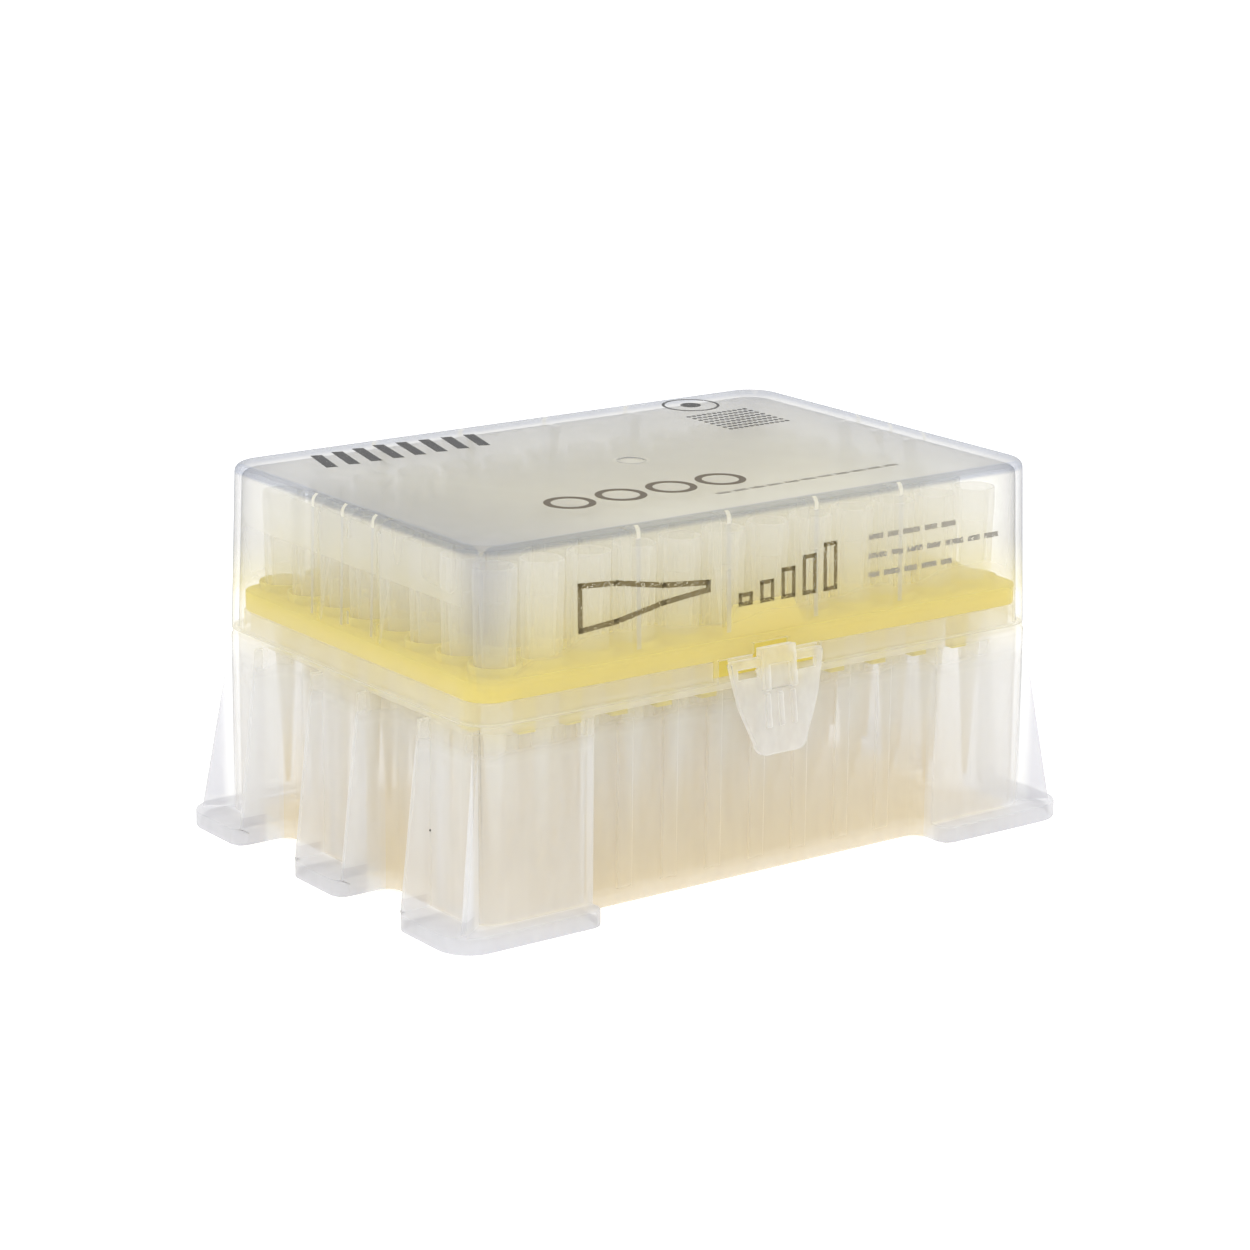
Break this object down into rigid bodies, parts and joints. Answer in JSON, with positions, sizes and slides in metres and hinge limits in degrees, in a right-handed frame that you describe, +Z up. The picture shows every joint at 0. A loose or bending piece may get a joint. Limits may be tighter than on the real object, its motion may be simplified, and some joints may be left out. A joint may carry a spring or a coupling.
{
  "type": "box of pipette tips",
  "caption": "Hinged box on a microplate footprint, with a clear latched lid over a plate of pipette tips that hang in a deep base.",
  "frame": {"origin": "centre of the foot flange's footprint, on the surface that the box stands on", "axes": "+X along the long side, -Y towards the latch, +Y towards the hinges, +Z up"},
  "size_m": [0.1278, 0.0854, 0.0636],
  "materials": {
    "base_plastic": "natural translucent moulding, satin",
    "plate_plastic": "opaque moulding, satin",
    "lid_plastic": "clear moulding, glossy",
    "tip_plastic": "natural translucent moulding, smooth"
  },
  "bodies": {
    "box": {"base": "base_plastic", "tip_plate": "plate_plastic", "tips_column_01": "tip_plastic", "tips_column_02": "tip_plastic", "tips_column_03": "tip_plastic", "tips_column_04": "tip_plastic", "tips_column_05": "tip_plastic", "tips_column_06": "tip_plastic", "tips_column_07": "tip_plastic", "tips_column_08": "tip_plastic", "tips_column_09": "tip_plastic", "tips_column_10": "tip_plastic", "tips_column_11": "tip_plastic", "tips_column_12": "tip_plastic"},
    "lid": {"lid": "lid_plastic"},
    "latch": {"latch_flap": "lid_plastic"}
  },
  "joints": [
    {"name": "lid_hinge", "type": "hinge", "parent": "box", "child": "lid", "pos_m": [0, 0.0412, 0.038], "axis": [-1, 0, 0], "range_deg": [0, 105]},
    {"name": "latch_hinge", "type": "hinge", "parent": "lid", "child": "latch", "pos_m": [0, -0.03985, 0.0382], "axis": [-1, 0, 0], "range_deg": [0, 35]}
  ]
}
